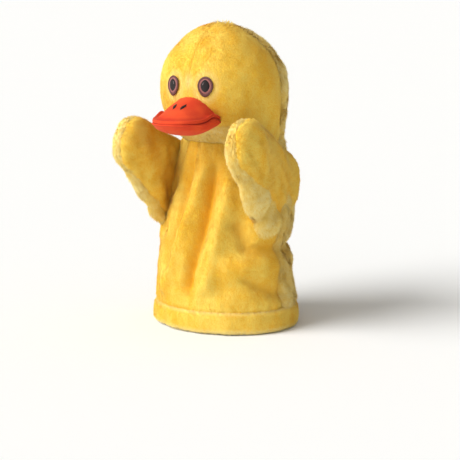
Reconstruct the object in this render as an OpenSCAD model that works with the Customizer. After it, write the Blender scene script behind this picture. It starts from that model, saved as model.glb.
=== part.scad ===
// Duck glove puppet: a plush glove for one hand, with a head that nods and
// turns, two wings that open and clap, and a stuffed bill that opens.
// Millimetres, +Z up, the face towards -Y, the puppet's left side at +X.
// The origin is the centre of the hand opening, in the plane of the hem.

/* [Glove] */
// Width of the hem, side to side
hem_w = 132; // [130:0.5:134]
// Depth of the hem, front to back
hem_d = 116; // [114:0.5:118]
// Height of the folded hem band
hem_h = 18; // [16:0.5:20]
// Height of the neck seam above the hem's edge
neck_z = 157; // [156:0.5:158]
// Width of the neck
neck_w = 86; // [85:0.5:88]
// Thickness of the plush cloth
plush_t = 2.4; // [2:0.1:2.6]

/* [Head] */
// Width of the head
head_w = 104; // [103:0.5:106]
// Depth of the head, without the bill
head_d = 120; // [118:0.5:121]
// Height of the widest level of the head
head_z = 202.5; // [201.5:0.5:203.5]
// Height of the head above its widest level
crown_h = 56; // [54:0.5:58]
// Width of one embroidered eye
eye_w = 13.6; // [12:0.2:15]
// Height of one embroidered eye
eye_h = 16; // [14:0.2:18]

/* [Bill] */
// Width of the upper bill
bill_w = 54; // [52:0.5:56]
// Distance from the bill's widest level to its tip
bill_reach = 39; // [37:0.5:41]
// Height of the mouth line
mouth_z = 179; // [178:0.5:180]
// Angle to which the lower bill opens
bill_open = 24; // [10:1:26]

/* [Wings] */
// Half height of a wing at its root
wing_root_h = 40; // [38:0.5:41]
// Half height of a wing at its tip
wing_tip_h = 22; // [20:0.5:23]
// Half thickness of a wing at its tip
wing_tip_t = 14; // [12:0.5:15]

/* [Hidden] */

yellow = [0.97, 0.79, 0.24];
pale = [0.93, 0.86, 0.58];
orange = [0.93, 0.31, 0.16];
cream = [0.92, 0.88, 0.74];
thread = [0.85, 0.62, 0.12];
brown = [0.45, 0.27, 0.24];
black = [0.06, 0.05, 0.05];

lining_t = 1;          // thickness of the lining cloth
gap = 0.3;             // clearance between neighbouring bodies
seat = 0.1;            // gap between two layers of one body
collar_z = neck_z - 22; // the glove's own panels end here
hem_seam = [-9, 189];  // the side seams' angles, left and right

// Half widths, half depths and centres of the glove, by height
glove_x = [[0, hem_w / 2], [114, 53], [neck_z, neck_w / 2]];
glove_y = [[0, hem_d / 2], [114, 47], [neck_z, neck_w / 2 - 3]];
glove_c = [[0, 0], [82, -2], [114, 3], [neck_z, 12]];

// Head: the angles of latitude at the neck and at the foot of the face
neck_lat = -33.6;
jaw_lat = -21;
under_h = 82.2;          // half height of the ellipse that the jaw follows
head_c = -4;
neck_c = 12;
pocket_r = 13;         // radius of the finger pocket
pocket_top = 228;

// Bill: centre of the plan's ellipse and the hinge of the lower bill
bill_c = -58;
bill_rise = 21;
bill_slope = 1.6;      // how full the bill's flanks are, 1 for a cone
lower_drop = 12;
hinge = [0, -44, mouth_z - 0.6];
bill_t = 1.5;          // thickness of the bill's cloth

// Wing: root and tip centres, and the unit vectors along it and across it
wing_root = [47, 5, 110];
wing_tip = [54, -60, 156];
wing_run = norm([0, wing_tip[1] - wing_root[1], wing_tip[2] - wing_root[2]]);
wing_along = [0, wing_tip[1] - wing_root[1], wing_tip[2] - wing_root[2]] / wing_run;
wing_across = [0, wing_along[2], -wing_along[1]];
wing_root_t = 15;
wing_back = 22;        // how far the rounded root reaches behind its centre
wing_cut = 0.5;        // share of the length that the shoulder takes
armhole_r = 25;

function mix(a, b, t) = a + (b - a) * t;
function flat(grid) = [for (row = grid) for (p = row) p];

// A point of the glove's surface, moved inwards by inset
function glove_point(z, a, inset) = [
    (lookup(z, glove_x) - inset) * cos(a),
    lookup(z, glove_c) + (lookup(z, glove_y) - inset) * sin(a),
    z
];

// A point of the head's surface at latitude t, moved inwards by inset
function head_share(t) = (1 - cos(t)) / (1 - cos(neck_lat));
function head_point(t, a, inset) =
    let (
        low = t < 0,
        rx = head_w / 2 * (low ? cos(t) : pow(cos(t), 1.15)),
        ry = head_d / 2 * pow(cos(t), low ? 2.2 : 1.15),
        yc = low ? mix(head_c, neck_c, head_share(t)) : head_c - 4 * pow(sin(t), 2)
    )
    [
        max(rx - inset * cos(t), 0.5) * cos(a),
        yc + max(ry - inset * cos(t), 0.5) * sin(a),
        head_z + (low ? under_h : crown_h) * sin(t) - inset * max(sin(t), 0)
    ];

// A point of the left wing: s runs round the root's end from -1 to 0, on to the
// tip's centre, 1, and round its end, 2; a runs from the top edge over the
// outer side
function wing_point(s, a, inset) =
    let (
        k = max(min(s, 1), 0),
        lat = (max(s - 1, 0) + min(s, 0)) * 88,
        reach = s > 0 ? wing_tip_h : wing_back,
        h = (mix(wing_root_h, wing_tip_h, k) - inset) * cos(lat),
        t = (mix(wing_root_t, wing_tip_t, k) - inset) * cos(lat),
        c = mix(wing_root, wing_tip, k)
            + wing_along * (reach - inset) * sin(lat)
    )
    c + wing_across * h * cos(a) + [t * sin(a), 0, 0];

// A point of a bill's dome, k times its rim's size
function bill_point(k, a, w, reach, rise, inset) = [
    (w / 2 - inset) * k * cos(a),
    bill_c + 0.5 * reach * (1 - k) + (reach - inset) * k * sin(a),
    (rise - inset) * (1 - pow(k, bill_slope))
];

// A closed solid between two matching grids of points
module cloth(outer, inner, ring = false) {
    rows = len(outer);
    cols = len(outer[0]);
    n = rows * cols;
    wrap = ring ? cols : cols - 1;
    function id(i, j) = i * cols + j % cols;
    function quad(a, b, c, d) = [[a, b, c], [a, c, d]];
    skin = [for (i = [0:rows - 2]) for (j = [0:wrap - 1]) each concat(
        quad(id(i, j), id(i + 1, j), id(i + 1, j + 1), id(i, j + 1)),
        quad(n + id(i, j + 1), n + id(i + 1, j + 1), n + id(i + 1, j), n + id(i, j))
    )];
    ends = [for (j = [0:wrap - 1]) each concat(
        quad(id(0, j), id(0, j + 1), n + id(0, j + 1), n + id(0, j)),
        quad(n + id(rows - 1, j), n + id(rows - 1, j + 1),
            id(rows - 1, j + 1), id(rows - 1, j))
    )];
    sides = ring ? [] : [for (i = [0:rows - 2]) each concat(
        quad(n + id(i, 0), n + id(i + 1, 0), id(i + 1, 0), id(i, 0)),
        quad(id(i, cols - 1), id(i + 1, cols - 1),
            n + id(i + 1, cols - 1), n + id(i, cols - 1))
    )];
    polyhedron(concat(flat(outer), flat(inner)), concat(skin, ends, sides));
}

// A closed solid through a stack of rings
module block(rings) {
    rows = len(rings);
    n = len(rings[0]);
    skin = [for (i = [0:rows - 2]) for (j = [0:n - 1])
        each [
            [i * n + j, (i + 1) * n + j, (i + 1) * n + (j + 1) % n],
            [i * n + j, (i + 1) * n + (j + 1) % n, i * n + (j + 1) % n]
        ]];
    low = [[for (j = [0:n - 1]) j]];
    high = [[for (j = [n - 1:-1:0]) (rows - 1) * n + j]];
    polyhedron(flat(rings), concat(skin, low, high));
}

// Steps from a to b, both included
function steps(a, b, n) = [for (i = [0:n]) a + (b - a) * i / n];

module glove_cloth(z0, z1, a0, a1, inset, t, rows, cols) {
    cloth(
        [for (z = steps(z0, z1, rows)) [for (a = steps(a0, a1, cols)) glove_point(z, a, inset)]],
        [for (z = steps(z0, z1, rows)) [for (a = steps(a0, a1, cols)) glove_point(z, a, inset + t)]]
    );
}

module glove_tube(z0, z1, inset, t, rows, cols) {
    around = [for (j = [0:cols - 1]) 360 * j / cols];
    cloth(
        [for (z = steps(z0, z1, rows)) [for (a = around) glove_point(z, a, inset)]],
        [for (z = steps(z0, z1, rows)) [for (a = around) glove_point(z, a, inset + t)]],
        true
    );
}

module glove_block(grow) {
    block([for (z = steps(-1, neck_z, 10)) [for (j = [0:31]) glove_point(z, 360 * j / 32, -grow)]]);
}

module head_cloth(t0, t1, a0, a1, rows, cols) {
    cloth(
        [for (t = steps(t0, t1, rows)) [for (a = steps(a0, a1, cols)) head_point(t, a, 0)]],
        [for (t = steps(t0, t1, rows)) [for (a = steps(a0, a1, cols)) head_point(t, a, plush_t)]]
    );
}

module head_block(inset) {
    block([for (t = steps(neck_lat, 88, 14)) [for (j = [0:35]) head_point(t, 10 * j, inset)]]);
}

// The lower half of the head, which the bill meets
module head_front(inset) {
    block([for (t = steps(neck_lat, 12, 5)) [for (j = [0:29]) head_point(t, 12 * j, inset)]]);
}

module wing_cloth(s_list, a0, a1, cols, inset, t) {
    cloth(
        [for (s = s_list) [for (a = steps(a1, a0, cols)) wing_point(s, a, inset)]],
        [for (s = s_list) [for (a = steps(a1, a0, cols)) wing_point(s, a, inset + t)]]
    );
}

module wing_tube(s_list, inset, t) {
    around = [for (j = [0:17]) -20 * j];
    cloth(
        [for (s = s_list) [for (a = around) wing_point(s, a, inset)]],
        [for (s = s_list) [for (a = around) wing_point(s, a, inset + t)]],
        true
    );
}

// Both armholes, for a wing's root to pass
module armholes() {
    for (side = [-1, 1])
        translate([side * 52, wing_root[1] - 4, wing_root[2] - 5])
            rotate([0, 90, 0])
                rotate([0, 0, 15]) cylinder(h = 50, r = armhole_r, center = true, $fn = 12);
}

module front_panel() {
    color(yellow)
        difference() {
            glove_cloth(hem_h + seat, collar_z, hem_seam[1] + 0.3, hem_seam[0] + 359.7, 0, plush_t, 10, 20);
            armholes();
        }
}

module back_panel() {
    color(pale)
        difference() {
            glove_cloth(hem_h + seat, collar_z, hem_seam[0] + 0.3, hem_seam[1] - 0.3, 0, plush_t, 10, 20);
            armholes();
        }
}

module hem_band() {
    color(yellow) glove_tube(0, hem_h, 0, plush_t + 1.2, 2, 48);
}

// A row of stitches round the top of the hem band
module hem_stitching() {
    stitches = 60;
    color(thread)
        for (i = [0:stitches - 1])
            let (a = 360 * i / stitches)
                translate(glove_point(hem_h - 1.4, a, -0.45))
                    rotate([90, 0, atan2(cos(a) * hem_w, -sin(a) * hem_d) + 90])
                        cylinder(h = 3, r = 0.35, center = true, $fn = 16);
}

module hand_lining() {
    color(cream)
        difference() {
            glove_tube(hem_h * 0.5, collar_z, plush_t + 1.2 + 2 * seat, lining_t, 8, 32);
            armholes();
        }
}

module left_shoulder() {
    color(yellow)
        difference() {
            wing_tube(concat(steps(-1, -0.2, 4), steps(0, wing_cut - 0.005, 4)), 0, plush_t);
            glove_block(gap);
        }
}

module right_shoulder() {
    mirror([1, 0, 0]) left_shoulder();
}

module neck_sleeve() {
    color(yellow) glove_tube(collar_z + gap, neck_z - gap, 0, plush_t, 4, 36);
}

module left_face() {
    color(yellow) {
        head_cloth(jaw_lat + 0.2, 89, -89.6, -5.4, 12, 10);
        head_cloth(neck_lat, jaw_lat + 0.1, -49.6, -5.4, 2, 6);
    }
}

module right_face() {
    mirror([1, 0, 0]) left_face();
}

module head_back() {
    color(pale) head_cloth(neck_lat, 89, -5, 185, 12, 19);
}

module chin_panel() {
    color(pale) head_cloth(neck_lat, jaw_lat, -130, -50, 2, 12);
}

module head_filling() {
    color("white")
        difference() {
            head_block(plush_t + 0.7);
            translate([0, neck_c - 6, 0]) cylinder(h = pocket_top + seat, r = pocket_r + seat, $fn = 48);
        }
}

module finger_pocket() {
    color(cream)
        translate([0, neck_c - 6, neck_z + 0.5])
            difference() {
                cylinder(h = pocket_top - neck_z - 0.5, r = pocket_r, $fn = 48);
                translate([0, 0, -1])
                    cylinder(h = pocket_top - neck_z - 0.5, r = pocket_r - lining_t, $fn = 48);
            }
}

// Places a flat patch on the left of the face, facing outwards
module on_face(lat, a, lift) {
    p = head_point(lat, a, 0);
    translate(p)
        rotate([90 - lat * 0.9, 0, a + 90 + 2])
            translate([0, 0, lift]) children();
}

module oval(w, h, t) {
    linear_extrude(t)
        polygon([for (i = [0:35]) [w / 2 * cos(10 * i), h / 2 * sin(10 * i)]]);
}

module left_eye() {
    color(brown)
        on_face(5, -72.5, 0.15)
            difference() {
                oval(eye_w, eye_h, 1);
                translate([0, 0, -1]) oval(eye_w * 0.5, eye_h * 0.56, 3);
            }
}

module right_eye() {
    mirror([1, 0, 0]) left_eye();
}

module left_pupil() {
    color(black) on_face(5, -72.5, 0.15) oval(eye_w * 0.48, eye_h * 0.54, 1.2);
}

module right_pupil() {
    mirror([1, 0, 0]) left_pupil();
}

module bill_dome(w, reach, rise, inset) {
    rings = [for (k = steps(1, 0.1, 7))
        [for (j = [0:35]) bill_point(k, 10 * j, w, reach, rise, inset)]];
    block(rings);
}

module upper_bill() {
    color(orange)
        difference() {
            translate([0, 0, mouth_z]) bill_dome(bill_w, bill_reach, bill_rise, 0);
            translate([0, 0, mouth_z - 0.01]) bill_dome(bill_w, bill_reach, bill_rise, bill_t);
            head_front(-0.8);
        }
}

module upper_bill_filling() {
    color("white")
        difference() {
            translate([0, 0, mouth_z]) bill_dome(bill_w, bill_reach, bill_rise, bill_t + seat);
            head_front(-0.8);
        }
}

module bill_plate(w, reach, t) {
    linear_extrude(t)
        polygon([for (j = [0:35]) [w / 2 * cos(10 * j), bill_c + reach * sin(10 * j)]]);
}

module upper_bill_lining() {
    color(orange)
        difference() {
            translate([0, 0, mouth_z - 0.9]) bill_plate(bill_w - 1, bill_reach - 0.5, 0.8);
            head_front(-0.8);
        }
}

// One nostril, a short slanted stitch on top of the bill
module left_nostril() {
    color(black)
        translate([4, -74, mouth_z + 14.6])
            rotate([62, 0, 24])
                cylinder(h = 6, r = 0.8, center = true, $fn = 16);
}

module right_nostril() {
    mirror([1, 0, 0]) left_nostril();
}

// The space that the head needs as the lower bill opens
module lower_bill_clearance() {
    for (a = steps(0, bill_open, 3))
        translate(hinge) rotate([-a, 0, 0]) translate(-hinge) head_front(-1.2);
}

module lower_dome(inset) {
    translate([0, 0, mouth_z - 1.4])
        mirror([0, 0, 1])
            bill_dome(bill_w - 8, bill_reach - 5, lower_drop, inset);
}

module lower_bill() {
    color(orange)
        difference() {
            lower_dome(0);
            translate([0, 0, 0.01]) lower_dome(bill_t);
            lower_bill_clearance();
        }
}

module lower_bill_filling() {
    color("white")
        difference() {
            lower_dome(bill_t + seat);
            lower_bill_clearance();
        }
}

module lower_bill_lining() {
    color(orange)
        difference() {
            translate([0, 0, mouth_z - 1.3]) bill_plate(bill_w - 9, bill_reach - 5.5, 0.3);
            lower_bill_clearance();
        }
}

wing_steps = concat(steps(wing_cut, 1, 5), steps(1.15, 2, 6));

module left_wing_outer() {
    color(yellow) wing_cloth(wing_steps, 1, 179, 12, 0, plush_t);
}

module left_wing_inner() {
    color(pale) wing_cloth(wing_steps, 181, 359, 12, 0, plush_t);
}

module left_wing_sleeve() {
    color(cream) wing_tube(wing_steps, plush_t + seat, lining_t);
}

module right_wing_outer() {
    mirror([1, 0, 0]) left_wing_outer();
}

module right_wing_inner() {
    mirror([1, 0, 0]) left_wing_inner();
}

module right_wing_sleeve() {
    mirror([1, 0, 0]) left_wing_sleeve();
}

front_panel();
back_panel();
hem_band();
hem_stitching();
hand_lining();
left_shoulder();
right_shoulder();
neck_sleeve();
left_face();
right_face();
head_back();
chin_panel();
head_filling();
finger_pocket();
left_eye();
right_eye();
left_pupil();
right_pupil();
upper_bill();
upper_bill_filling();
upper_bill_lining();
left_nostril();
right_nostril();
lower_bill();
lower_bill_filling();
lower_bill_lining();
left_wing_outer();
left_wing_inner();
left_wing_sleeve();
right_wing_outer();
right_wing_inner();
right_wing_sleeve();
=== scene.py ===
import math

import bpy
import numpy as np
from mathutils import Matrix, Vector


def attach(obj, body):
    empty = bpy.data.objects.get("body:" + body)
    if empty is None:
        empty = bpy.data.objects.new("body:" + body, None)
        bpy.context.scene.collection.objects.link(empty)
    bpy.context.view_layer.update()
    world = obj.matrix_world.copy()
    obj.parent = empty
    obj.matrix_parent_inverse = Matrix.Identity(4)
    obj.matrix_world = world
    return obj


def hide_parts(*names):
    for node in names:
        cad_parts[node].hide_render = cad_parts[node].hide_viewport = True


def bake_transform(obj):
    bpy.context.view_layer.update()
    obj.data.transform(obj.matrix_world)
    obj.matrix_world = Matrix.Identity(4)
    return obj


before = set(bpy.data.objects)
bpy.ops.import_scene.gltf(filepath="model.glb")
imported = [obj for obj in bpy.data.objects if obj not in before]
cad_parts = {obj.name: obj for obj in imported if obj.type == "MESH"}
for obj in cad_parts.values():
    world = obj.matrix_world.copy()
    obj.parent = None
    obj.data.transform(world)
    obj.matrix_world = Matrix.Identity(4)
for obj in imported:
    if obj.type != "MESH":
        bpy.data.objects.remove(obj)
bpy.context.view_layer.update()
scene = bpy.context.scene
print("frame loaded")


class Signal:
    def __init__(self, finish, socket):
        self.finish, self.socket = finish, socket

    def maths(self, operation, *values):
        node = self.finish.node("ShaderNodeMath", {"operation": operation}, dict(enumerate(values)))
        return node["Value"]

    def __add__(self, other):
        return self.maths("ADD", self, other)

    __radd__ = __add__

    def __mul__(self, other):
        return self.maths("MULTIPLY", self, other)

    __rmul__ = __mul__

    def __sub__(self, other):
        return self.maths("SUBTRACT", self, other)

    def __rsub__(self, other):
        return self.maths("SUBTRACT", other, self)

    def ramp(self, low, high):  # 0 below low, 1 above high
        node = self.finish.node("ShaderNodeMapRange", {"interpolation_type": "SMOOTHSTEP"},
                                {"Value": self, "From Min": low, "From Max": high})
        return node["Result"]


class Finish:
    def __init__(self, name, sheen=0.0, sheenRough=0.4, sheenTint=(1, 1, 1), specular=0.3):
        self.material = bpy.data.materials.new(name)
        self.material.use_nodes = True
        self.tree = self.material.node_tree
        self.tree.nodes.clear()
        self.out = self.tree.nodes.new("ShaderNodeOutputMaterial")
        self.body = self.tree.nodes.new("ShaderNodeBsdfPrincipled")
        self.tree.links.new(self.body.outputs[0], self.out.inputs[0])
        self.body.inputs["Sheen Weight"].default_value = sheen
        self.body.inputs["Sheen Roughness"].default_value = sheenRough
        self.body.inputs["Sheen Tint"].default_value = (*sheenTint, 1)
        self.body.inputs["Specular IOR Level"].default_value = specular

    def put(self, socket, value):
        if isinstance(value, Signal):
            self.tree.links.new(value.socket, socket)
        elif isinstance(value, tuple) and len(value) == 3 and socket.type == "RGBA":
            socket.default_value = (*value, 1)
        else:
            socket.default_value = value

    def node(self, kind, settings=None, sockets=None):
        made = self.tree.nodes.new(kind)
        for key, value in (settings or {}).items():
            setattr(made, key, value)
        for key, value in (sockets or {}).items():
            if isinstance(key, int):
                socket = made.inputs[key]
            else:
                socket = next(s for s in made.inputs if key in (s.identifier, s.name) and s.enabled)
            self.put(socket, value)
        return {s.name: Signal(self, s) for s in made.outputs if s.enabled}

    def mix(self, factor, a, b):
        return self.node("ShaderNodeMix", {"data_type": "RGBA"},
                         {"Factor_Float": factor, "A_Color": a, "B_Color": b})["Result"]

    def scaled(self, vector, factors):
        return self.node("ShaderNodeVectorMath", {"operation": "MULTIPLY"}, {0: vector, 1: factors})["Vector"]

    def attribute(self, name, out="Fac"):
        return self.node("ShaderNodeAttribute", {"attribute_name": name})[out]

    def place(self):  # where a point lay on the resting puppet, in millimetres
        return self.attribute("restPlace", "Vector")

    def own(self, size=1000):  # the piece's own coordinates, in millimetres unless another size is given
        return self.scaled(self.node("ShaderNodeTexCoord")["Object"], (size, size, size))

    def noise(self, vector, scale, detail=2.0, rough=0.5, out="Fac"):
        return self.node("ShaderNodeTexNoise", {},
                         {"Vector": vector, "Scale": scale, "Detail": detail, "Roughness": rough})[out]

    def set(self, **sockets):
        names = {"colour": "Base Color", "rough": "Roughness", "normal": "Normal"}
        for key, value in sockets.items():
            self.put(self.body.inputs[names[key]], value)

    def bump(self, height, strength, distance):
        return self.node("ShaderNodeBump", {}, {"Height": height, "Strength": strength,
                                                "Distance": distance})["Normal"]


# deep and paleDeep serve as painted shade colours; bright and paleBright are partly painted highlight at the
# fibre tips
plush = {
    "deep": (0.86, 0.40, 0.010), "yellow": (0.96, 0.61, 0.042), "bright": (1.0, 0.79, 0.17),
    "paleDeep": (0.86, 0.56, 0.08), "pale": (0.94, 0.67, 0.13), "paleBright": (1.0, 0.85, 0.37),
}


def plushBacking(name, deep, middle, bright):
    f = Finish(name, sheen=0.35, sheenRough=0.45, sheenTint=(1.0, 0.86, 0.5), specular=0.15)
    p = f.place()
    patches = f.noise(f.scaled(p, (1, 1, 0.5)), 0.05, 3, 0.55).ramp(0.36, 0.66)
    grain = f.noise(f.scaled(p, (1, 1, 0.35)), 0.9, 3, 0.6)
    colour = f.mix(patches * 0.6 + grain * 0.3, middle, bright)
    # painted shade: creases, seams and hollows are mixed towards the deep colour
    colour = f.mix(f.attribute("dip") * 0.75, colour, deep)
    f.set(colour=f.mix(f.attribute("pale"), colour, plush["paleBright"]),
          rough=0.82 + 0.12 * grain, normal=f.bump(grain, 0.7, 0.0009))
    return f.material


def plushPile(name, deep, middle, bright):
    f = Finish(name, sheen=0.3, sheenRough=0.35, sheenTint=(1.0, 0.9, 0.6), specular=0.2)
    p = f.place()
    patches = f.noise(f.scaled(p, (1, 1, 0.5)), 0.05, 3, 0.55).ramp(0.36, 0.66)
    along, tone = f.attribute("along"), f.attribute("tone")
    # painted shade at the fibre roots and painted highlight towards the tips; tone and patches are the pile's
    # own random tone
    colour = f.mix(along * 0.62 + tone * 0.3 + patches * 0.22, deep, middle)
    colour = f.mix((along * 0.5 + tone * 0.5 + patches * 0.25).ramp(0.35, 1.2), colour, bright)
    # painted shade in creases and seams
    colour = f.mix(f.attribute("dip") * 0.6, colour, deep)
    f.set(colour=f.mix(f.attribute("pale") * 0.8, colour, plush["paleBright"]), rough=0.66 + 0.2 * tone)
    return f.material


smoothBacking = plushBacking("smoothPlushBacking", plush["deep"], plush["yellow"], plush["bright"])
fluffyBacking = plushBacking("fluffyPlushBacking", plush["paleDeep"], plush["pale"], plush["paleBright"])
smoothPile = plushPile("smoothPlushPile", plush["deep"], plush["yellow"], plush["bright"])
fluffyPile = plushPile("fluffyPlushPile", plush["paleDeep"], plush["pale"], plush["paleBright"])


def billFabric(name, dark, main, light):
    f = Finish(name, sheen=0.2, sheenRough=0.4, sheenTint=(1.0, 0.5, 0.35), specular=0.2)
    p = f.place()
    fuzz = f.noise(p, 2.4, 4, 0.65)
    cloud = f.noise(p, 0.09, 3, 0.5).ramp(0.3, 0.7)
    colour = f.mix(cloud * 0.65 + fuzz * 0.35, main, light)
    # painted shade: the dark colour goes into creases, under the upper bill and inside the mouth
    f.set(colour=f.mix(f.attribute("dip"), colour, dark), rough=0.72 + 0.2 * fuzz,
          normal=f.bump(fuzz, 0.55, 0.00035))
    return f.material


billCloth = billFabric("billCloth", (0.42, 0.018, 0.012), (0.66, 0.044, 0.015), (0.78, 0.085, 0.021))
mouthCloth = billFabric("mouthCloth", (0.42, 0.020, 0.018), (0.60, 0.045, 0.026), (0.68, 0.065, 0.034))


def thread(name, main, light, specular=0.45):
    f = Finish(name, sheen=0.15, specular=specular)
    p = f.place()
    twist = f.noise(p, 5.0, 2, 0.5)
    f.set(colour=f.mix(twist, main, light), rough=0.38 + 0.2 * twist, normal=f.bump(twist, 0.5, 0.0001))
    return f.material


yellowThread = thread("yellowThread", (0.80, 0.47, 0.06), (0.98, 0.74, 0.24))
brownThread = thread("brownThread", (0.085, 0.024, 0.022), (0.17, 0.058, 0.05))
mauveThread = thread("mauveThread", (0.27, 0.085, 0.085), (0.46, 0.19, 0.17))
blackThread = thread("blackThread", (0.005, 0.004, 0.004), (0.022, 0.017, 0.019), 0.3)
glintThread = thread("glintThread", (0.33, 0.27, 0.28), (0.52, 0.45, 0.45))


def liningFabric():
    f = Finish("liningCloth", sheen=0.2, specular=0.2)
    p = f.own()
    wave = {"Scale": 0.9, "Distortion": 0.4}
    warp = f.node("ShaderNodeTexWave", {"bands_direction": "Z"}, {"Vector": p, **wave})["Fac"]
    weft = f.node("ShaderNodeTexWave", {"bands_direction": "DIAGONAL"},
                  {"Vector": f.scaled(p, (1, -1, 0)), **wave})["Fac"]
    weave = warp * 0.5 + weft * 0.5
    f.set(colour=f.mix(weave, (0.62, 0.5, 0.28), (0.82, 0.72, 0.48)), rough=0.85,
          normal=f.bump(weave, 0.5, 0.0003))
    return f.material


def woolStuffing():
    f = Finish("fillingWool", sheen=0.3, specular=0.1)
    curl = f.noise(f.own(), 0.5, 5, 0.7)
    f.set(colour=f.mix(curl, (0.72, 0.70, 0.65), (0.93, 0.92, 0.89)), rough=0.95,
          normal=f.bump(curl, 0.9, 0.002))
    return f.material


liningCloth = liningFabric()
fillingWool = woolStuffing()
print("finishes made")


def ease(x, low, high):
    t = np.clip((x - low) / (high - low), 0, 1)
    return t * t * (3 - 2 * t)


def unit(v):
    return v / np.maximum(np.linalg.norm(v, axis=-1, keepdims=True), 1e-9)


def net(rows, cols):  # one field that changes down the rows, and one that changes along the columns
    return np.meshgrid(rows, cols, indexing="ij")


def turns(count):  # evenly spaced angles once round
    return np.radians(np.linspace(0, 360, count, endpoint=False))


def hump(x, width):
    return np.exp(-(x / width) ** 2)


def ripple(points, seed, size, layers=5):  # smooth unevenness between -1 and 1
    rng = np.random.default_rng(seed)
    total = np.zeros(points.shape[:-1])
    for layer in range(layers):
        wave = unit(rng.normal(size=3)) * 2 * math.pi / (size * rng.uniform(0.7, 1.6))
        total += np.sin(points @ wave + rng.uniform(0, 6.3))
    return total / layers ** 0.5 / 1.4


def toSegment(x, y, a, b):
    dx, dy = b[0] - a[0], b[1] - a[1]
    t = np.clip(((x - a[0]) * dx + (y - a[1]) * dy) / (dx * dx + dy * dy), 0, 1)
    return np.hypot(x - a[0] - t * dx, y - a[1] - t * dy)


def toPath(x, y, path):
    return np.minimum.reduce([toSegment(x, y, a, b) for a, b in zip(path, path[1:])])


def facing(grid, inside):  # unit normals that point away from inside
    du = np.gradient(grid, axis=0)
    dv = np.gradient(grid, axis=1)
    n = unit(np.cross(du, dv))
    away = np.sum(n * (grid - inside), axis=-1)
    return n * (1 if np.median(away) >= 0 else -1)


def addMesh(name, points, faces, material, extra=None):
    mesh = bpy.data.meshes.new(name)
    mesh.from_pydata((points * 0.001).tolist(), [], faces)
    mesh.materials.append(material)
    mesh.polygons.foreach_set("use_smooth", [True] * len(mesh.polygons))
    rest = mesh.attributes.new("restPlace", "FLOAT_VECTOR", "POINT")
    rest.data.foreach_set("vector", points.astype(np.float32).ravel())
    for key, values in (extra or {}).items():
        mark = mesh.attributes.new(key, "FLOAT", "POINT")
        mark.data.foreach_set("value", values.astype(np.float32).ravel())
    mesh.update()
    piece = bpy.data.objects.new(name, mesh)
    scene.collection.objects.link(piece)
    return piece


def shellFaces(rows, cols, ring):
    n = rows * cols
    wide = cols if ring else cols - 1
    i, j = net(np.arange(rows - 1), np.arange(wide))
    a, b = i * cols + j, i * cols + (j + 1) % cols
    c, d = a + cols, b + cols
    outer = np.stack([a, b, d, c], -1).reshape(-1, 4)
    inner = (outer + n)[:, ::-1]
    faces = [outer, inner]
    j = np.arange(wide)
    for row, turned in ((0, True), (rows - 1, False)):
        a, b = row * cols + j, row * cols + (j + 1) % cols
        edge = np.stack([a, b, b + n, a + n], -1)
        faces.append(edge[:, ::-1] if turned else edge)
    if not ring:
        i = np.arange(rows - 1)
        for col, turned in ((0, False), (cols - 1, True)):
            a, b = i * cols + col, (i + 1) * cols + col
            edge = np.stack([a, b, b + n, a + n], -1)
            faces.append(edge[:, ::-1] if turned else edge)
    return np.concatenate(faces)


def outward(outer, inner):  # whether shellFaces already faces out
    rows, cols = outer.shape[:2]
    i, j = rows // 2, cols // 2
    a, b, c = outer[i, j], outer[i, j + 1], outer[i + 1, j]
    return np.dot(np.cross(b - a, c - a), outer[i, j] - inner[i, j]) > 0


def shell(name, outer, inner, material, ring=False, extra=None):
    rows, cols = outer.shape[:2]
    points = np.concatenate([outer.reshape(-1, 3), inner.reshape(-1, 3)])
    faces = shellFaces(rows, cols, ring)
    if not outward(outer, inner):
        faces = faces[:, ::-1]
    both = {k: np.concatenate([v.ravel(), v.ravel()]) for k, v in (extra or {}).items()}
    for k in ("dip", "pale"):
        both.setdefault(k, np.zeros(len(points)))
    return addMesh(name, points, faces.tolist(), material, both)


def closedForm(name, rings, material, dip=None):
    # rings from the middle of the top, over the rim, to the middle of the underside
    rows, cols = rings.shape[:2]
    points = rings.reshape(-1, 3)
    i, j = net(np.arange(rows - 1), np.arange(cols))
    a, b = i * cols + j, i * cols + (j + 1) % cols
    faces = np.stack([a, b, b + cols, a + cols], -1).reshape(-1, 4).tolist()
    faces = [f[::-1] for f in faces]
    faces.append(list(range(cols)))
    faces.append([(rows - 1) * cols + m for m in range(cols)][::-1])
    extra = {"dip": dip.ravel() if dip is not None else np.zeros(len(points)), "pale": np.zeros(len(points))}
    piece = addMesh(name, points, faces, material, extra)
    piece.data.validate()
    return piece


pileLimits = {"most": 64000, "lowest": 0.1, "rootDepth": 0.5}


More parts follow.
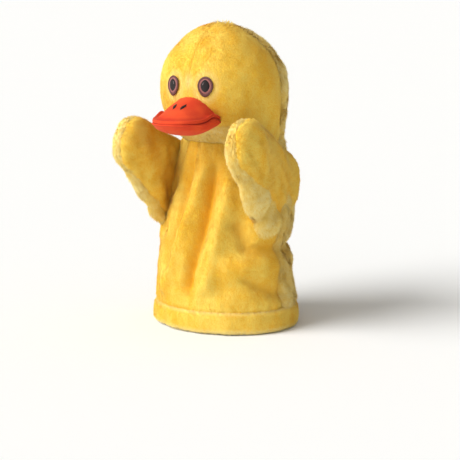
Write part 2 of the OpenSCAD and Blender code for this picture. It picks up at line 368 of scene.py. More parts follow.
def growPile(name, grid, normals, comb, look, material, dip, ring=False, pale=None):
    rng = np.random.default_rng(look["seed"])
    pale = np.zeros(dip.shape) if pale is None else pale
    if ring:
        grid, normals, comb, dip, pale = (np.concatenate([g, g[:, :1]], 1)
                                          for g in (grid, normals, comb, dip, pale))
    a, b, c, d = grid[:-1, :-1], grid[:-1, 1:], grid[1:, 1:], grid[1:, :-1]
    area = 0.5 * (np.linalg.norm(np.cross(b - a, d - a), axis=-1)
                  + np.linalg.norm(np.cross(b - c, d - c), axis=-1))
    total = area.sum()
    count = min(int(total * look["density"]), pileLimits["most"])
    pick = rng.choice(area.size, count, p=(area / total).ravel())
    i, j = np.unravel_index(pick, area.shape)
    u, v = rng.random(count)[:, None], rng.random(count)[:, None]

    def at(field):
        f = field if field.ndim == 3 else field[..., None]
        return (f[i, j] * (1 - u) * (1 - v) + f[i + 1, j] * u * (1 - v)
                + f[i, j + 1] * (1 - u) * v + f[i + 1, j + 1] * u * v)

    root, n, lay = at(grid), unit(at(normals)), at(comb)
    swirl = np.stack([ripple(root, look["seed"] + k, look["swirl"]) for k in range(3)], -1)
    lay = unit(lay + swirl * look["wander"] + rng.normal(size=(count, 3)) * look["stray"])
    lay = unit(lay - n * np.sum(lay * n, -1, keepdims=True))
    tuft = ripple(root, look["seed"] + 9, look["tuft"])
    length = look["length"] * (1 + look["uneven"] * tuft + rng.uniform(-0.25, 0.2, count))
    length *= 1 - 0.4 * np.clip(at(dip)[:, 0], 0, 1)
    lean = np.radians(look["lean"]) * (1 + look["uneven"] * tuft + rng.uniform(-0.2, 0.2, count))
    length, lean = length[:, None], lean[:, None]
    side = unit(np.cross(n, lay))
    twist = rng.uniform(-0.35, 0.35, (count, 1))
    low = unit(n * np.cos(lean * 0.75) + lay * np.sin(lean * 0.75))
    high = unit(n * np.cos(lean * 1.2) + lay * np.sin(lean * 1.2))
    broad = unit(side * np.cos(twist) + np.cross(low, side) * np.sin(twist)) * look["width"] * 0.5
    start = root - n * pileLimits["rootDepth"]
    middle = start + low * length * 0.55
    tip = middle + high * length * 0.5
    points = np.stack([start - broad, start + broad, middle - broad * 0.8, middle + broad * 0.8, tip], 1)
    points[..., 2] = np.maximum(points[..., 2], pileLimits["lowest"])
    base = (np.arange(count) * 5)[:, None]
    quads = base + np.array([[0, 1, 3, 2]])
    tips = base + np.array([[2, 3, 4]])
    faceOut = np.cross(points[:, 1] - points[:, 0], points[:, 2] - points[:, 0])
    if np.median(np.sum(faceOut * n, -1)) < 0:
        quads, tips = quads[:, ::-1], tips[:, ::-1]
        faceOut = -faceOut
    tone = np.clip(0.54 + look["mottle"] * tuft + rng.normal(0, 0.2, count), 0, 1)
    extra = {
        "along": np.tile([0.0, 0.0, 0.6, 0.6, 1.0], count),
        "tone": np.repeat(tone, 5),
        "dip": np.repeat(at(dip)[:, 0], 5),
        "pale": np.repeat(at(pale)[:, 0], 5),
    }
    faces = quads.tolist() + tips.tolist()
    piece = addMesh(name, points.reshape(-1, 3), faces, material, extra)
    mesh = piece.data
    soft = unit(n * look["softness"] + unit(faceOut) * (1 - look["softness"]))
    mesh.normals_split_custom_set_from_vertices(np.repeat(soft, 5, 0).tolist())
    cells = math.ceil(math.sqrt(count))
    corner = np.stack([np.arange(count) % cells, np.arange(count) // cells], -1)[:, None, :]
    shape = np.array([[0.08, 0.06], [0.92, 0.06], [0.12, 0.55], [0.88, 0.55], [0.5, 0.95]])
    spread = (corner + shape) / cells
    layer = mesh.uv_layers.new(name="OFBake")
    order = np.array([v for face in (quads[:1] - base[:1], tips[:1] - base[:1]) for v in face[0]])
    uv = np.concatenate([spread[:, order[:4]].reshape(-1, 2), spread[:, order[4:]].reshape(-1, 2)])
    layer.data.foreach_set("uv", uv.astype(np.float32).ravel())
    return piece


def stitches(name, ends, radius, rise, material, outwards, sides=5, steps=6):
    points, faces = [], []
    t = np.linspace(0, 1, steps)
    arch = np.sin(math.pi * t) ** 0.6
    thin = 0.55 + 0.45 * np.sin(math.pi * t)
    for (a, b), up in zip(ends, outwards):
        a, b, up = np.array(a), np.array(b), unit(np.array(up))
        run = unit(b - a)
        across = unit(np.cross(run, up))
        up = unit(np.cross(across, run))
        base = len(points)
        for k in range(steps):
            centre = a + (b - a) * t[k] + up * rise * arch[k]
            for m in range(sides):
                angle = 2 * math.pi * m / sides
                points.append(centre + radius * thin[k] * (across * math.cos(angle) + up * math.sin(angle)))
        for k in range(steps - 1):
            for m in range(sides):
                c = base + k * sides + m
                d = base + k * sides + (m + 1) % sides
                faces.append([c, d, d + sides, c + sides])
        faces.append([base + m for m in range(sides)][::-1])
        faces.append([base + (steps - 1) * sides + m for m in range(sides)])
    return addMesh(name, np.array(points), faces, material)


gloveShape = {
    "heights": [0, 114, 157], "halfWidth": [64, 52.5, 43], "halfDepth": [56.5, 47, 40.5],
    "middleHeights": [0, 82, 114, 157], "middle": [0, -2, 3, 12],
    "hemHeight": 18, "neckHeight": 157.5, "seams": (-9, 189, 351), "thickness": 2.2,
    "drape": 0.9, "neckGather": 1.1,
}
gloveFolds = {"front": [  # depth is out of the cloth where positive; x and z of each point
    {"path": [(12, 154), (8, 120), (8, 98), (3, 75), (-5, 53), (-7, 38)], "depth": -9, "width": 6},
    {"path": [(-14, 148), (-17, 115), (-20, 91), (-32, 54)], "depth": -6, "width": 5},
    {"path": [(0, 140), (-5, 108), (-12, 87), (-24, 60), (-34, 34)], "depth": 4.5, "width": 6},
    {"path": [(22, 128), (22, 110), (17, 76), (12, 42)], "depth": 4, "width": 7},
    {"path": [(34, 92), (42, 73), (60, 70)], "depth": -6, "width": 6},
    {"path": [(30, 58), (50, 55)], "depth": 4.5, "width": 9},
    {"path": [(42, 47), (54, 38), (63, 29)], "depth": -4.5, "width": 4.5},
    {"path": [(-36, 122), (-45, 100), (-42, 84)], "depth": -3.5, "width": 6},
], "back": [
    {"path": [(64, 67), (38, 72), (20, 84)], "depth": -6, "width": 7},
    {"path": [(62, 42), (30, 46)], "depth": -2.5, "width": 12},
    {"path": [(-60, 60), (-30, 74), (-12, 100)], "depth": -4.5, "width": 7},
    {"path": [(-26, 40), (-14, 80), (-8, 120)], "depth": 3, "width": 7},
    {"path": [(10, 30), (14, 80), (6, 130)], "depth": -3.5, "width": 6},
    {"path": [(40, 30), (30, 100)], "depth": 2.5, "width": 8},
]}


def softly(z, xs, ys):  # interpolated, with its corners rounded
    return sum(np.interp(z + k, xs, ys) for k in (-12, -6, 0, 6, 12)) / 5


def outline(z, xs, ys):  # rounded, and exact at the neck
    top = ease(z, 140, 157.5)
    return softly(z, xs, ys) * (1 - top) + top * np.interp(z, xs, ys)


def gloveSurface(z, a):
    s = gloveShape
    half = outline(z, s["heights"], s["halfWidth"])
    deep = outline(z, s["heights"], s["halfDepth"])
    mid = outline(z, s["middleHeights"], s["middle"])
    return np.stack([half * np.cos(a), mid + deep * np.sin(a), z + 0 * a], -1)


def gloveRelief(p, a):  # how far the cloth stands out, and how much painted shade its creases and seams get
    x, up = p[..., 0], p[..., 2]
    depth = np.zeros(x.shape)
    dip = np.zeros(x.shape)
    frontShare = ease(-np.sin(a), -0.15, 0.45)
    for key, share in (("front", frontShare), ("back", 1 - frontShare)):
        for fold in gloveFolds[key]:
            near = share * hump(toPath(x, up, fold["path"]), fold["width"])
            depth += fold["depth"] * near
            # creases get painted shade, ridges a little less
            dip += near * max(-fold["depth"], 0) / 9 - near * max(fold["depth"], 0) / 16
    free = ease(up, 20, 34) * (1 - 0.8 * ease(up, 122, 152))
    depth, dip = depth * free, dip * free
    depth += gloveShape["drape"] * ripple(p, 4, 34) * free
    depth += 0.5 * ripple(p, 5, 15) * free
    gather = ease(up, 128, 156)
    depth -= gloveShape["neckGather"] * np.cos(a * 17 + 0.6 * np.sin(3 * a)) * gather
    depth += 0.25 * np.cos(a * 37 + np.sin(5 * a)) * hump(up - 22, 5)
    depth -= 1.6 * hump(up - 17.5, 3.2)
    # the sides swell out to meet the wings' roots
    root = np.hypot(p[..., 1] - 4, (up - 106) * 0.8)
    depth += 5.2 * hump(root, 26) * ease(np.abs(x), 24, 48)
    across = np.minimum.reduce([np.abs(a - math.radians(seam)) for seam in gloveShape["seams"]])
    pinch = hump(across * 55, 3.0)
    depth -= 1.6 * pinch
    # painted shade along the seams and the top of the hem
    dip += 0.3 * pinch
    dip += 0.5 * hump(up - 18, 2.5)
    return depth, np.clip(dip, 0, 1)


def cloth(name, outer, centre, thickness, material, ring=False, dip=None, pale=None):
    n = facing(outer, centre)
    extra = {key: v for key, v in (("dip", dip), ("pale", pale)) if v is not None}
    return shell(name, outer, outer - n * thickness, material, ring, extra), n


shortPile = {"density": 2.6, "length": 2.6, "width": 0.46, "lean": 64, "wander": 0.4, "stray": 0.3,
             "swirl": 30, "tuft": 9, "softness": 0.8, "uneven": 0.1, "mottle": 0.14, "seed": 11}
longPile = {"density": 2.5, "length": 4.4, "width": 0.5, "lean": 58, "wander": 1.0, "stray": 0.5,
            "swirl": 14, "tuft": 5.5, "softness": 0.9, "uneven": 0.1, "mottle": 0.3, "seed": 21}

down = np.array([0, 0, -1.0])
gloveCentre = np.array([0, 3, 80.0])


def glovePanel(name, firstAngle, lastAngle, backing, pile, look, nodes):
    z, a = net(np.linspace(gloveShape["hemHeight"] - 1.5, gloveShape["neckHeight"], 96),
                       np.radians(np.linspace(firstAngle, lastAngle, 120)))
    smooth = gloveSurface(z, a)
    depth, dip = gloveRelief(smooth, a)
    outer = smooth + facing(smooth, gloveCentre) * depth[..., None]
    panel, n = cloth(name, outer, gloveCentre, gloveShape["thickness"], backing, dip=dip)
    fur = growPile(name + "Pile", outer, n, np.broadcast_to(down, outer.shape), look, pile, dip=dip)
    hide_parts(*nodes)
    for piece in (panel, fur):
        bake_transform(piece)


glovePanel("frontPanel", 189, 351, smoothBacking, smoothPile,
           shortPile, ["front_panel", "neck_sleeve"])
glovePanel("backPanel", -9, 189, fluffyBacking, fluffyPile,
           dict(longPile, seed=22), ["back_panel"])
print("glove panels made")

# hem band: a doubled-over hem, rolled at the bottom
hemShape = {"top": 18.2, "swell": 0.9, "uneven": 0.6, "lift": 1.2, "wave": 0.9, "thickness": 2.6}
u, a = net(np.linspace(0, 1, 26), turns(180))
z = hemShape["top"] * (1 - u)
band = gloveSurface(z, a)
bandOut = facing(band, gloveCentre)
swell = hemShape["swell"] * np.sin(math.pi * np.clip(u * 1.02, 0, 1)) ** 0.7
swell -= 1.2 * (1 - ease(u, 0, 0.2))  # drawn in along its stitches
swell -= 1.4 * ease(u, 0.86, 1)
swell += hemShape["uneven"] * ripple(band, 31, 22) * ease(u, 0, 0.4)
band = band + bandOut * swell[..., None]
band[..., 2] += hemShape["lift"] + hemShape["wave"] * ripple(band, 36, 60) * u
# painted shade along the top of the hem band
hemPaintedShade = 0.3 * (1 - ease(u, 0, 0.08))
hemPale = 0.9 * ease(u, 0.72, 0.95) + 0.6 * hump(u - 0.06, 0.05)
hemBand, bandOut = cloth("hemBand", band, gloveCentre, hemShape["thickness"], smoothBacking,
                         ring=True, dip=hemPaintedShade, pale=hemPale)
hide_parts("hem_band")
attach(hemBand, "glove")
hemLook = dict(shortPile, seed=33, stray=0.5)
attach(growPile("hemBandPile", band, bandOut, np.broadcast_to(down, band.shape), hemLook, smoothPile,
                 ring=True, dip=hemPaintedShade, pale=hemPale), "glove")

hemStitch = {"count": 72, "length": 3.2, "radius": 0.32, "height": 18.4, "halfWidth": 65, "halfDepth": 57.5}
ends, ups = [], []
for k in range(hemStitch["count"]):
    angle = 2 * math.pi * k / hemStitch["count"]
    half = hemStitch["length"] / 2 / 61  # 61 is the hem's mean radius
    pair = [gloveSurface(np.array(hemStitch["height"]), np.array(angle + s * half)) for s in (-1, 1)]
    up = np.array([math.cos(angle) / hemStitch["halfWidth"], math.sin(angle) / hemStitch["halfDepth"], 0])
    pair = [q - unit(up) * 0.5 for q in pair]
    ends.append(pair)
    ups.append(up)
hemThread = stitches("hemStitching", ends, hemStitch["radius"], 0.55, yellowThread, ups)
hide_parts("hem_stitching")
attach(hemThread, "glove")

# lining tube for the hand
z, a = net(np.linspace(9, 134, 60), turns(96))
tube = gloveSurface(z, a)
inward = np.minimum(gloveRelief(tube, a)[0], 0) - 8.5 + 0.8 * ripple(tube, 41, 25)
tube = tube + facing(tube, gloveCentre) * inward[..., None]
handLining = cloth("handLining", tube, gloveCentre, 0.8, liningCloth, ring=True)[0]
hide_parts("hand_lining")
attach(handLining, "glove")
print("hem and lining made")

wingShape = {
    "root": (47, 5, 110), "tip": (53.5, -59, 157), "rootHalf": 39, "tipHalf": 22, "rootThick": 12.5,
    "tipThick": 13.5, "rootReach": 22, "tipReach": 22, "sag": 0.09,
    "lift": {1: 3.2, -1: 0}, "seam": {1: (166, 117), -1: (180, 207)}, "thickness": 2.2, "deepest": -3.6,
    "sleeve": (6.4, 7.2),
}
wingAlong = unit(np.array([0, -65, 46.0]))
wingAcross = np.array([0, wingAlong[2], -wingAlong[1]])


def wingSurface(s, a, inset=0.0):
    w = wingShape
    k = np.clip(s, 0, 1)
    turn = np.radians((np.maximum(s - 1, 0) + np.minimum(s, 0)) * 89)
    reach = np.where(s > 0, w["tipReach"], w["rootReach"]) - inset
    high = (w["rootHalf"] + (w["tipHalf"] - w["rootHalf"]) * k - inset) * np.cos(turn)
    high = high * (1 - w["sag"] * ease(s, -0.1, 0.5) * np.minimum(np.cos(a), 0))
    thick = (w["rootThick"] + (w["tipThick"] - w["rootThick"]) * k - inset) * np.cos(turn)
    centre = np.array(w["root"]) + (np.array(w["tip"]) - np.array(w["root"])) * k[..., None]
    centre = centre + wingAlong * (reach * np.sin(turn))[..., None]
    bulge = np.sign(np.sin(a)) * np.abs(np.sin(a)) ** 0.85
    return (centre + wingAcross * (high * np.cos(a))[..., None]
            + np.stack([thick * bulge, 0 * thick, 0 * thick], -1))


wingFolds = {  # each fold's two ends, as share along the wing and degrees round it, then depth and width
    "left": [
        ((0.32, 128), (0.30, 190), -2.6, 0.06), ((0.12, 130), (0.1, 190), 2.4, 0.10),
        ((0.55, 132), (0.52, 190), 1.6, 0.10), ((0.02, 85), (0.6, 75), -1.8, 0.16),
        ((-0.12, 100), (0.2, 122), -2.2, 0.06), ((0.62, 140), (0.85, 150), -1.5, 0.05),
        ((0.8, 205), (0.5, 230), -1.6, 0.08), ((0.2, 215), (0.6, 260), -3.0, 0.10),
    ],
    "right": [
        ((0.1, 150), (0.55, 95), -2.5, 0.10), ((0.3, 60), (0.9, 80), 1.5, 0.14),
        ((0.55, 140), (0.95, 120), -1.4, 0.08), ((0.05, 118), (0.42, 160), -3.0, 0.05),
        ((0.3, 105), (0.8, 158), -2.6, 0.045), ((-0.1, 140), (0.35, 178), 2.5, 0.07),
        ((0.5, 150), (0.7, 185), 1.8, 0.06), ((0.15, 215), (0.55, 260), -3.5, 0.10),
        ((0.2, 240), (0.62, 300), -2.5, 0.08), ((0.5, 225), (1.1, 250), 2.0, 0.14),
        ((0.75, 200), (0.95, 230), -1.6, 0.07),
    ],
}


def placed(points, s, side):  # on its own side of the puppet, and the left wing held a little higher
    points = points * np.array([side, 1, 1])
    points[..., 2] += wingShape["lift"][side] * ease(s, 0, 1.2)
    return points


def wingPanel(side, name, outside, folds, backing, pile, slot, look, nodes):
    s, v = net(np.linspace(-1, 2, 110), np.linspace(0, 1, 64))
    atTip, atRoot = wingShape["seam"][side]
    seam = atTip + (atRoot - atTip) * ease(1.3 - s, 0, 0.95)
    first, last = (-6, seam) if outside else (seam, 354)
    a = np.radians(first + (last - first) * v)
    p = wingSurface(s, a)
    centre = np.array([50, -25, 131.0])
    n = facing(p, centre)
    depth = 0.8 * ripple(p * np.array([side, 1, 1]), 51 + side, 18) + 0.4 * ripple(p, 53, 9)
    dip = np.zeros(s.shape)
    for start, end, deep, wide in folds:
        near = hump(toSegment(s, a / math.pi, (start[0], start[1] / 180), (end[0], end[1] / 180)), wide)
        depth += deep * near
        # creases get painted shade
        dip += near * max(-deep, 0) / 5
    edge = np.minimum(np.abs(a - np.radians(first)), np.abs(a - np.radians(last)))
    pinch = hump(edge * 22, 2.6)
    depth -= 0.9 * pinch
    # painted shade along the panel's seams
    dip += 0.35 * pinch
    outer = placed(p + n * np.maximum(depth, wingShape["deepest"])[..., None], s, side)
    centre = centre * np.array([side, 1, 1])
    dip = np.clip(dip, 0, 1)
    panel, n = cloth(name, outer, centre, wingShape["thickness"], backing, dip=dip)
    lay = np.broadcast_to(-wingAlong * 0.4 + down * 0.8 + np.array([0, 0.3, 0]), outer.shape)
    fur = growPile(name + "Pile", outer, n, lay, look, pile, dip=dip)
    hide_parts(*nodes)
    return panel, fur


for side, word in ((1, "left"), (-1, "right")):
    made = []
    short = (smoothBacking, smoothPile, "smooth_plush", dict(shortPile, seed=71 + side, length=3.0))
    fluffy = (fluffyBacking, fluffyPile, "fluffy_plush", dict(longPile, seed=61 + side, length=3.8))
    made += wingPanel(side, word + "WingOuter", True, wingFolds[word], *(short if side > 0 else fluffy),
                      [word + "_wing_outer"])
    made += wingPanel(side, word + "WingInner", False, wingFolds[word], *(fluffy if side > 0 else short),
                      [word + "_wing_inner", word + "_shoulder"])
    s, a = net(np.linspace(-0.5, 1.97, 50), turns(40))
    sleeveOuter, sleeveInner = (placed(wingSurface(s, a, inset), s, side) for inset in wingShape["sleeve"])
    sleeve = shell(word + "WingSleeve", sleeveOuter, sleeveInner, liningCloth, True)
    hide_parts(word + "_wing_sleeve")
    for piece in made + [sleeve]:
        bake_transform(piece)
print("wings made")

headShape = {
    "width": 102.5, "depth": 115, "height": 202.5, "crown": 54, "under": 82.2, "middle": -4,
    "neckLat": -33.6, "jawLat": -21, "crownLat": 89.6, "neckMiddle": 12, "thickness": 2.4, "seam": 9,
}
headCentre = np.array([0, -2, 198.0])


def headSurface(t, a):  # t and a in degrees
    h = headShape
    lat, a = np.radians(t), np.radians(a)
    low = lat < 0
    cosine = np.clip(np.cos(lat), 1e-6, 1)
    wide = h["width"] / 2 * np.where(low, cosine, cosine ** 1.13)
    power = 1.24 + 0.32 * np.maximum(np.sin(a), 0)  # fuller at the back
    deep = h["depth"] / 2 * np.where(low, cosine ** 2.2, cosine ** power)
    share = (1 - cosine) / (1 - math.cos(math.radians(h["neckLat"])))
    mid = np.where(low, h["middle"] + (h["neckMiddle"] - h["middle"]) * share,
                   h["middle"] - 7 * np.sin(lat) ** 2)
    up = h["height"] + np.where(low, h["under"], h["crown"]) * np.sin(lat)
    return np.stack([wide * np.cos(a), mid + deep * np.sin(a), up], -1)


eyePlace = {"lat": 5.0, "angle": -73, "halfWidth": 6.6, "halfHeight": 7.3, "perDegree": 0.985}


def eyeGap(p, sign):  # distance from the middle of one eye
    eye = headSurface(np.array(eyePlace["lat"]), np.array(-90 + sign * (90 + eyePlace["angle"])))
    return np.linalg.norm((p - eye) / np.array([1, 1, 1.15]), axis=-1)


def shapedHead(t, a, fluffy=False):
    p = headSurface(t, a)
    n = facing(p, headCentre)
    x, z = p[..., 0], p[..., 2]
    depth = 0.5 * ripple(p, 81, 30) + 0.25 * ripple(p, 82, 12)
    # painted shade goes into the brow line, the side seams, the jaw crease and the neck seam
    dip = np.zeros(x.shape)
    front = p[..., 1] < headShape["middle"]
    line = hump(x, 1.5) * front * ease(z, 204, 214)
    depth -= 0.8 * line
    dip += 0.18 * line
    pinch = hump(np.hypot(x, (z - 211) * 0.8), 5) * front
    depth -= 0.7 * pinch
    side = headShape["seam"]
    seam = np.minimum.reduce([np.abs(a - side), np.abs(a - 180 + side), np.abs(a + 180 + side)])
    crease = hump(seam * 0.9 * np.cos(np.radians(t)), 2.2)
    depth -= 0.8 * crease
    dip += 0.15 * crease
    jaw = hump(t - headShape["jawLat"], 1.6) * hump(np.minimum(np.abs(a + 90), 60), 44) * front
    depth -= 1.2 * jaw
    dip += 0.35 * jaw
    neck = hump(t - headShape["neckLat"], 2.2)
    depth -= 0.4 * neck
    dip += 0.2 * neck
    for sign in (-1, 1):  # the cloth sinks a little where the eyes are sewn through it
        depth -= 0.9 * hump(eyeGap(p, sign), 8)
    if fluffy:
        depth += 0.7 * ripple(p, 83, 13) * (1 - hump(seam, 6))
    return p + n * depth[..., None], np.clip(dip, 0, 1)


def paleNear(p):  # the pile is paler round the eyes and at the end of the brow seam
    pale = 0.75 * hump(np.hypot(p[..., 0], (p[..., 2] - 211) * 0.7), 4) * (p[..., 1] < 0)
    for sign in (-1, 1):
        pale = np.maximum(pale, 0.45 * hump(eyeGap(p, sign) - 9, 2.4))
    return pale


def headPanel(name, t, a, backing, pile, look, nodes, fluffy=False):
    outer, dip = shapedHead(t, a, fluffy)
    pale = paleNear(outer)
    panel, n = cloth(name, outer, headCentre, headShape["thickness"], backing, dip=dip, pale=pale)
    lay = np.stack([outer[..., 0] * 0.004, 0.35 + outer[..., 1] * 0.004, -0.8 + 0 * outer[..., 2]], -1)
    fur = growPile(name + "Pile", outer, n, lay, look, pile, dip=dip, pale=pale)
    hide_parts(*nodes)
    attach(panel, "head")
    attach(fur, "head")


u, v = net(np.linspace(0, 1, 90), np.linspace(0, 1, 70))
for side, word in ((1, "left"), (-1, "right")):
    a = -90 + side * (90 + headShape["seam"]) * v
    away = np.abs(a + 90)
    low = headShape["jawLat"] + (headShape["neckLat"] - headShape["jawLat"]) * ease(away, 36, 42)
    t = low + (headShape["crownLat"] - low) * u
    headPanel(word + "Face", t, a, smoothBacking, smoothPile,
              dict(shortPile, seed=91 + side, length=2.3), [word + "_face"])
u, v = net(np.linspace(0, 1, 90), np.linspace(0, 1, 130))
t = headShape["neckLat"] + (headShape["crownLat"] - headShape["neckLat"]) * u
headPanel("headBack", t, headShape["seam"] * (1 - 2 * v) + 180 * v, fluffyBacking, fluffyPile,
          dict(longPile, seed=95), ["head_back"], fluffy=True)
u, v = net(np.linspace(0, 1, 30), np.linspace(0, 1, 60))
t = headShape["neckLat"] + (headShape["jawLat"] - headShape["neckLat"]) * u
headPanel("chinPanel", t, -132 + 84 * v, fluffyBacking, fluffyPile,
          dict(longPile, seed=97, length=3.2), ["chin_panel"])

pocket = {"radius": 13.4, "middle": 6, "bottom": 158.5, "top": 228.4, "clothDepth": 6.2}
t, a = net(np.linspace(89.5, headShape["neckLat"], 60), np.linspace(0, 360, 96, endpoint=False))
stuffed = headSurface(t, a)
inset = pocket["clothDepth"] - 0.5 * ripple(stuffed, 87, 14)
stuffed = stuffed - facing(stuffed, headCentre) * inset[..., None]
up, a = net(np.linspace(pocket["bottom"], pocket["top"], 12), np.radians(a[0]))
hollow = np.stack([pocket["radius"] * np.cos(a), pocket["middle"] + pocket["radius"] * np.sin(a), up], -1)
headFilling = closedForm("headFilling", np.concatenate([stuffed, hollow]), fillingWool)
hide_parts("head_filling")
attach(headFilling, "head")
print("head made")


def facePoint(side, across, up, lift):  # millimetres from the middle of an eye
    t = np.array(eyePlace["lat"] + up / eyePlace["perDegree"])
    a = np.array(eyePlace["angle"] + across / eyePlace["perDegree"])
    near = 0.5
    p = shapedHead(np.array([[t, t], [t + near, t + near]]), np.array([[a, a + near], [a, a + near]]))[0]
    n = unit(np.cross(p[0, 1] - p[0, 0], p[1, 0] - p[0, 0]))
    n = n * np.sign(np.dot(n, p[0, 0] - headCentre))
    q = p[0, 0] + n * lift
    mirror = np.array([side, 1, 1])
    return q * mirror, n * mirror


eyeThreads = {
    "iris": {"inner": 0.55, "outer": 0.86, "count": 64, "slant": 0.12, "radius": 0.33, "lift": 1.1},
    "outline": {"inner": 0.84, "outer": 1.06, "count": 84, "slant": 0.5, "radius": 0.28, "lift": 1.25},
    "pupil": {"halfWidth": 3.9, "halfHeight": 5.0, "rows": 24, "radius": 0.34, "lift": 1.4},
    "glint": {"ends": ((-1.9, 2.0), (-1.0, 2.9), (-2.3, 0.9), (-1.5, 1.6)), "radius": 0.16, "lift": 2.15},
}


def eyeRing(side, name, ring, material):
    ends, ups = [], []
    for k in range(ring["count"]):
        angle = 2 * math.pi * k / ring["count"]
        pair = []
        for size, turn in ((ring["inner"], 0), (ring["outer"], ring["slant"])):
            across = eyePlace["halfWidth"] * size * math.cos(angle + turn)
            up = eyePlace["halfHeight"] * size * math.sin(angle + turn)
            q, n = facePoint(side, across, up, ring["lift"])
            pair.append(q)
        ends.append(pair)
        ups.append(n)
    piece = stitches(name, ends, ring["radius"], 0.45, material, ups)
    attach(piece, "head")
    return piece


def eyeRows(side, name, shape):
    ends, ups = [], []
    for k in range(shape["rows"]):
        up = shape["halfHeight"] * (2 * (k + 0.5) / shape["rows"] - 1)
        half = shape["halfWidth"] * max(1 - abs(up / shape["halfHeight"]) ** 2.8, 0.05) ** 0.5
        q, n = facePoint(side, -half, up, shape["lift"])
        ends.append([q, facePoint(side, half, up, shape["lift"])[0]])
        ups.append(n)
    piece = stitches(name, ends, shape["radius"], 0.35, blackThread, ups, steps=8)
    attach(piece, "head")
    return piece


for side, word in ((1, "left"), (-1, "right")):
    iris = eyeRing(side, word + "EyeIris", eyeThreads["iris"], mauveThread)
    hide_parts(word + "_eye")
    eyeRing(side, word + "EyeOutline", eyeThreads["outline"], brownThread)
    pupil = eyeRows(side, word + "Pupil", eyeThreads["pupil"])
    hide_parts(word + "_pupil")
    spark = eyeThreads["glint"]
    ends, ups = zip(*(facePoint(side, x, y, spark["lift"]) for x, y in spark["ends"]))
    glint = stitches(word + "Glint", [ends[:2], ends[2:]], spark["radius"], 0.1, glintThread,
                     ups[::2])
    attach(glint, "head")
print("eyes made")

billShape = {
    "middle": -58, "halfWidth": 25.5, "reach": 37, "rear": 18, "square": 2.4, "mouth": 179.3,
    "rise": 18.0, "lip": 2.2, "lipShare": 0.88, "lipWave": 4.0, "lowerDrop": 9.0, "wavePlace": (24, -63),
    "lowerShrink": 0.985, "upperFilling": 0.82, "upperLining": 0.965, "lowerFilling": 0.84,
    "lowerLining": 0.94,
}


def billOutline(a):
    b = billShape
    power = 2 / b["square"]
    c, s = np.cos(a), np.sin(a)
    x = b["halfWidth"] * np.sign(c) * np.abs(c) ** power
    y = np.where(s < 0, b["reach"], b["rear"]) * np.sign(s) * np.abs(s) ** power
    return x, y


def halfWidthAt(y):
    b = billShape
    t = np.clip(np.abs(y) / np.where(y < 0, b["reach"], b["rear"]), 0, 1)
    return b["halfWidth"] * np.maximum(1 - t ** b["square"], 0.0) ** (1 / b["square"])


def lipLift(x, y):
    b = billShape
    wave = hump(np.hypot((np.abs(x) - b["wavePlace"][0]) * 0.9, y - (b["wavePlace"][1] - b["middle"])), 9)
    return b["lipWave"] * wave - 0.8 * hump(np.hypot(x, y + b["reach"]), 18)


def upperTop(k, a):
    b = billShape
    rimX, rimY = billOutline(a)
    x, y = rimX * k, rimY * k
    inner = np.clip(k / b["lipShare"], 0, 1)
    dx, dy = rimX * inner, rimY * inner
    half = np.maximum(halfWidthAt(dy), 1.0)
    across = np.clip(np.abs(dx) / half, 0, 1)
    q = np.clip((-dy + 2) / (b["reach"] + 2), 0, 1)
    high = b["rise"] * (1 - q ** 1.35) * (1 - across ** 2.1)
    edge = ease(k, b["lipShare"] - 0.1, 1)
    z = b["mouth"] + b["lip"] + high + edge * lipLift(x, y) + 0.5 * hump(k - 0.97, 0.04)
    z -= (b["lip"] - 0.2) * ease(k, 0.975, 1.0) ** 2
    z += 0.45 * ripple(np.stack([x, y, 0 * x], -1), 101, 15) * ease(k, 1.0, 0.7)
    return np.stack([x, b["middle"] + y, z], -1)


def upperUnder(k, a):
    b = billShape
    rimX, rimY = billOutline(a)
    x, y = rimX * k, rimY * k
    edge = ease(k, b["lipShare"] - 0.25, 1)
    z = b["mouth"] + edge * lipLift(x, y)
    return np.stack([x, b["middle"] + y, z], -1)


kTop = np.concatenate([np.linspace(0.02, 0.8, 34), np.linspace(0.815, 1.0, 16)])
kUnder = np.linspace(0.99, 0.02, 16)
around = turns(128)
k, a = net(kTop, around)
top = upperTop(k, a)
k2, a2 = net(kUnder, around)
rings = np.concatenate([top, upperUnder(k2, a2)])
# painted shade just above the lip, and over the whole underside of the upper bill
lipPaintedShade = 0.45 * hump(k - billShape["lipShare"] + 0.02, 0.05) * ease(np.abs(top[..., 1] + 64), 0, 6)
upperBill = closedForm("upperBill", rings, billCloth,
                       np.concatenate([lipPaintedShade, np.full(k2.shape, 0.35)]))
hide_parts("upper_bill")
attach(upperBill, "head")


def stuffing(above, below, name, node, body):
    lift = np.array([0, 0, 0.6])
    rings = np.concatenate([above - lift, (below + lift * 0.7)[::-1]])
    filling = closedForm(name, rings, fillingWool)
    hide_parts(node)
    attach(filling, body)


k, a = net(np.linspace(0.02, billShape["upperFilling"], 30), around)
stuffing(upperTop(k, a), upperUnder(k, a), "upperBillFilling", "upper_bill_filling", "head")

k, a = net(np.linspace(0.02, billShape["upperLining"], 30), around)
above = upperUnder(k, a) + np.array([0, 0, 0.3])
below = above - np.array([0, 0, 0.6])
upperLining = closedForm("upperBillLining", np.concatenate([above, below[::-1]]), mouthCloth)
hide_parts("upper_bill_lining")
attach(upperLining, "head")


def lowerSurface(k, a, share):  # share 0 for the flat top, 1 for the rounded underside
    b = billShape
    rimX, rimY = billOutline(a)
    x, y = rimX * k * b["lowerShrink"], rimY * k * b["lowerShrink"]
    corner = ease(k, 0.6, 1) * np.maximum(lipLift(x, y), 0)
    top = b["mouth"] - 0.75 - 0.8 * hump(k - 0.5, 0.3) + 0.9 * corner
    drop = b["lowerDrop"] * np.maximum(1 - k ** 2.4, 0) ** 0.8 * ease(-y, -16, 10)
    belly = b["mouth"] - 3.4 - drop + 0.9 * ease(k, 0.93, 1.0)
    return np.stack([x, b["middle"] + y, top * (1 - share) + belly * share], -1)


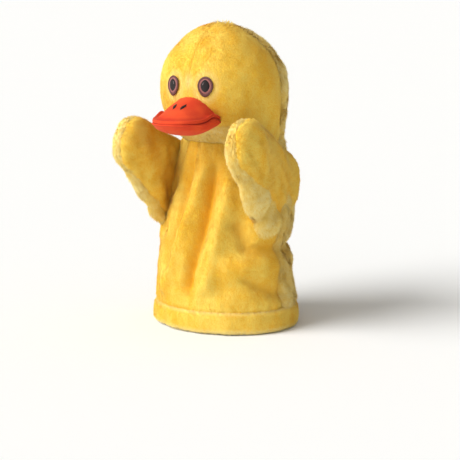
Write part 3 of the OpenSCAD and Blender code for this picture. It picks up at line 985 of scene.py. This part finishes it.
k, a = net(np.linspace(0.02, 1.0, 34), around)
k2, a2 = net(np.linspace(1.0, 0.02, 40), around)
lowTop, lowBelly = lowerSurface(k, a, 0), lowerSurface(k2, a2, 1)
rim = [lowerSurface(np.full((1, len(around)), 1.0 + 0.03 * math.sin(math.pi * s)), around[None], s)
       for s in (0.2, 0.4, 0.6, 0.8)]
lowerRings = np.concatenate([lowTop, *rim, lowBelly])
# painted shade on the lower bill's mouth side, and a little on its rim and underside
lowerBill = closedForm("lowerBill", lowerRings, billCloth,
                       np.concatenate([np.full(k.shape, 0.5), np.full((4, len(around)), 0.1), 0 * k2 + 0.1]))
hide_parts("lower_bill")
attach(lowerBill, "lower_bill")
k, a = net(np.linspace(0.02, billShape["lowerFilling"], 30), around)
stuffing(lowerSurface(k, a, 0), lowerSurface(k, a, 1), "lowerBillFilling", "lower_bill_filling", "lower_bill")
k, a = net(np.linspace(0.02, billShape["lowerLining"], 30), around)
base = lowerSurface(k, a, 0)
rings = np.concatenate([base + np.array([0, 0, 0.35]), (base - np.array([0, 0, 0.2]))[::-1]])
lowerLining = closedForm("lowerBillLining", rings, mouthCloth)
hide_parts("lower_bill_lining")
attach(lowerLining, "lower_bill")


def topHeight(x, y):  # height of the upper bill's top at a place given from the bill's middle
    b = billShape
    half = halfWidthAt(np.array(y / b["lipShare"]))
    across = min(abs(x) / b["lipShare"] / half, 1)
    q = min(max((-y / b["lipShare"] + 2) / (b["reach"] + 2), 0), 1)
    return b["mouth"] + b["lip"] + b["rise"] * (1 - q ** 1.35) * (1 - across ** 2.1)


nostrilShape = {"rows": 5, "gap": 0.42, "front": (3.4, -79.5), "rear": (4.6, -71.5), "radius": 0.34}
for side, word in ((1, "left"), (-1, "right")):
    ends, ups = [], []
    for k in range(nostrilShape["rows"]):
        row = k - 2
        shift = row * nostrilShape["gap"]
        pair = []
        for (x, y), short in ((nostrilShape["front"], 0.9), (nostrilShape["rear"], -0.9)):
            x, y = x + shift, y + short * abs(row)
            pair.append(np.array([side * x, y, topHeight(x, y - billShape["middle"]) + 0.1]))
        ends.append(pair)
        ups.append(np.array([side * 0.15, -0.25, 1]))
    nostril = stitches(word + "Nostril", ends, nostrilShape["radius"], 0.35, blackThread, ups,
                       steps=8)
    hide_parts(word + "_nostril")
    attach(nostril, "head")
print("bill made")

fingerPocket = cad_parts["finger_pocket"]
fingerPocket.data.materials.clear()
fingerPocket.data.materials.append(liningCloth)

studio = {"floor": (0.95, 0.97, 1.0), "floorLight": (0.96, 0.98, 1.0), "floorHalf": 60, "floorDrop": 0.0005,
          "sky": (1.0, 0.955, 0.87), "skyPower": 0.36, "lightColour": (1, 0.985, 0.96)}


def floorFinish():
    f = Finish("studioFloor", specular=0.0)
    f.set(colour=f.mix(f.noise(f.own(1), 3, 2), studio["floor"], studio["floorLight"]), rough=0.9)
    return f.material


floorMesh = bpy.data.meshes.new("floor")
half, drop = studio["floorHalf"], studio["floorDrop"]
corners = [(-half, -half, -drop), (half, -half, -drop), (half, half, -drop), (-half, half, -drop)]
floorMesh.from_pydata(corners, [], [(0, 1, 2, 3)])
floorMesh.materials.append(floorFinish())
floor = bpy.data.objects.new("floor", floorMesh)
scene.collection.objects.link(floor)

world = bpy.data.worlds.new("studio")
scene.world = world
world.use_nodes = True
world.node_tree.nodes["Background"].inputs[0].default_value = (*studio["sky"], 1)
world.node_tree.nodes["Background"].inputs[1].default_value = studio["skyPower"]
scene.view_settings.view_transform = "Standard"


def aim(thing, place, target):
    thing.location = place
    thing.rotation_euler = (Vector(target) - Vector(place)).to_track_quat("-Z", "Y").to_euler()


lights = {"windowLight": {"from": (-0.80, -1.15, 1.05), "power": 3.1, "softness": 40.0},
          "frontLight": {"from": (-0.30, -1.25, 0.15), "power": 1.15, "softness": 90.0}}
for name, setting in lights.items():
    light = bpy.data.lights.new(name, "SUN")
    light.energy, light.angle = setting["power"], math.radians(setting["softness"])
    light.color = studio["lightColour"]
    lamp = bpy.data.objects.new(name, light)
    scene.collection.objects.link(lamp)
    aim(lamp, setting["from"], (0, 0, 0))

view = {"azimuth": 30.0, "elevation": 7.5, "distance": 1.2, "lens": 109.6, "sensor": 36,
        "pivot": (0, 0, 0.135), "aim": (0.0030, 0.0017, 0.079)}
camera = bpy.data.objects.new("camera", bpy.data.cameras.new("camera"))
scene.collection.objects.link(camera)
az, el = math.radians(view["azimuth"]), math.radians(view["elevation"])
back = (math.sin(az) * math.cos(el), -math.cos(az) * math.cos(el), math.sin(el))
aim(camera, tuple(c + view["distance"] * b for c, b in zip(view["pivot"], back)), view["aim"])
camera.data.lens = view["lens"]
camera.data.sensor_width = view["sensor"]
scene.camera = camera

print("scene ready")
